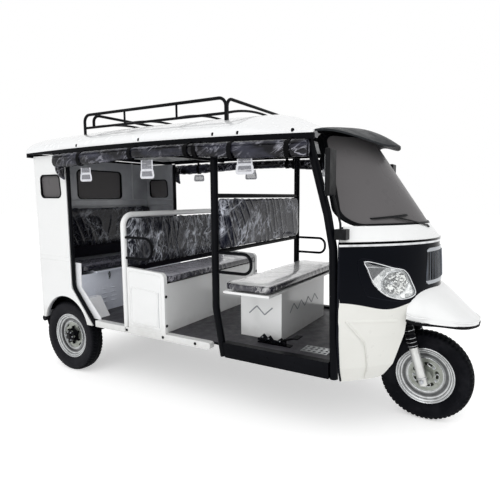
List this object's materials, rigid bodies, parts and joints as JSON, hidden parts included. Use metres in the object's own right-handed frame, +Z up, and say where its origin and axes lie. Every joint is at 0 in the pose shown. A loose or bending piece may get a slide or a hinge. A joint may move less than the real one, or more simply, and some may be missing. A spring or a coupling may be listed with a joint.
{
  "type": "auto rickshaw",
  "caption": "three-wheeled electric passenger rickshaw with open sides, benches, rolled side curtains, roof rack and raked front fork",
  "frame": {"origin": "bottom centre of the bounding box, on the floor", "axes": "+X forward, +Y left, +Z up"},
  "size_m": [3.0739, 1.3186, 1.897],
  "materials": {
    "black_steel": "satin",
    "white_paint": "gloss",
    "grey_paint": "gloss",
    "vinyl": "satin",
    "rubber_mat": "matte",
    "fork_alloy": "satin",
    "tyre_rubber": "matte",
    "wheel_paint": "satin",
    "grille_metal": "gloss",
    "lamp_chrome": "gloss",
    "lamp_lens": "gloss",
    "black_plastic": "matte",
    "dark_gloss": "gloss",
    "plate_metal": "satin",
    "lamp_red": "gloss",
    "roof_white": "gloss",
    "rack_steel": "satin",
    "window_glass": "gloss",
    "seal_rubber": "matte",
    "black_case": "matte",
    "bright_steel": "satin"
  },
  "bodies": {
    "root": {"battery_block": "black_case", "bulkhead": "black_steel", "chassis_frame": "black_steel", "corner_panels": "white_paint", "cowl_top": "white_paint", "door_posts": "black_steel", "drain_plate": "bright_steel", "driver_backrest": "vinyl", "driver_cushion": "vinyl", "driver_hoop": "black_steel", "driver_seat_box": "white_paint", "floor_mat": "rubber_mat", "floor_pan": "black_steel", "front_fender": "white_paint", "front_sills": "black_steel", "grille": "grille_metal", "headlamp_bowls": "lamp_chrome", "headlamp_lenses": "lamp_lens", "middle_armrests": "black_steel", "middle_backrest": "vinyl", "middle_bench_box": "white_paint", "middle_cushion": "vinyl", "middle_hoop": "white_paint", "mirrors": "black_plastic", "nose_band": "dark_gloss", "nose_strip": "lamp_chrome", "number_plate": "plate_metal", "pedals": "black_steel", "rear_axle": "black_steel", "rear_backrest": "vinyl", "rear_bench_box": "grey_paint", "rear_bumper": "black_steel", "rear_side_panel_left": "white_paint", "rear_side_panel_right": "white_paint", "rear_wall": "white_paint", "roof_frame": "black_steel", "roof_panel": "roof_white", "roof_rack": "rack_steel", "side_curtains": "vinyl", "side_sills": "white_paint", "tail_lamps": "lamp_red", "visor": "black_plastic", "wheel_housings": "white_paint", "window_glass": "window_glass", "window_seals": "seal_rubber", "windscreen_frame": "black_steel", "wiper": "black_plastic"},
    "steering": {"fork_boots": "seal_rubber", "fork_sliders": "fork_alloy", "fork_yoke": "black_steel", "handlebar": "black_steel"},
    "front_wheel_body": {"front_tyre": "tyre_rubber", "front_wheel": "wheel_paint"},
    "rear_wheel_right_body": {"rear_tyre_right": "tyre_rubber", "rear_wheel_right": "wheel_paint"},
    "rear_wheel_left_body": {"rear_tyre_left": "tyre_rubber", "rear_wheel_left": "wheel_paint"},
    "rear_seat": {"rear_seat_lid": "grey_paint", "rear_cushion": "vinyl"}
  },
  "joints": [
    {"name": "steering_turn", "type": "hinge", "parent": "root", "child": "steering", "pos_m": [1.13636, 0, 0.68577], "axis": [-0.2924, 0, 0.9563], "range_deg": [-35, 35]},
    {"name": "front_wheel_spin", "type": "hinge", "parent": "steering", "child": "front_wheel_body", "pos_m": [1.265, 0, 0.265], "axis": [0, 1, 0], "continuous": true},
    {"name": "rear_wheel_right_spin", "type": "hinge", "parent": "root", "child": "rear_wheel_right_body", "pos_m": [-1.215, -0.501, 0.265], "axis": [0, 1, 0], "continuous": true},
    {"name": "rear_wheel_left_spin", "type": "hinge", "parent": "root", "child": "rear_wheel_left_body", "pos_m": [-1.215, 0.501, 0.265], "axis": [0, 1, 0], "continuous": true},
    {"name": "rear_seat_lift", "type": "hinge", "parent": "root", "child": "rear_seat", "pos_m": [-1.34, 0, 0.741], "axis": [0, -1, 0], "range_deg": [0, 60]}
  ]
}
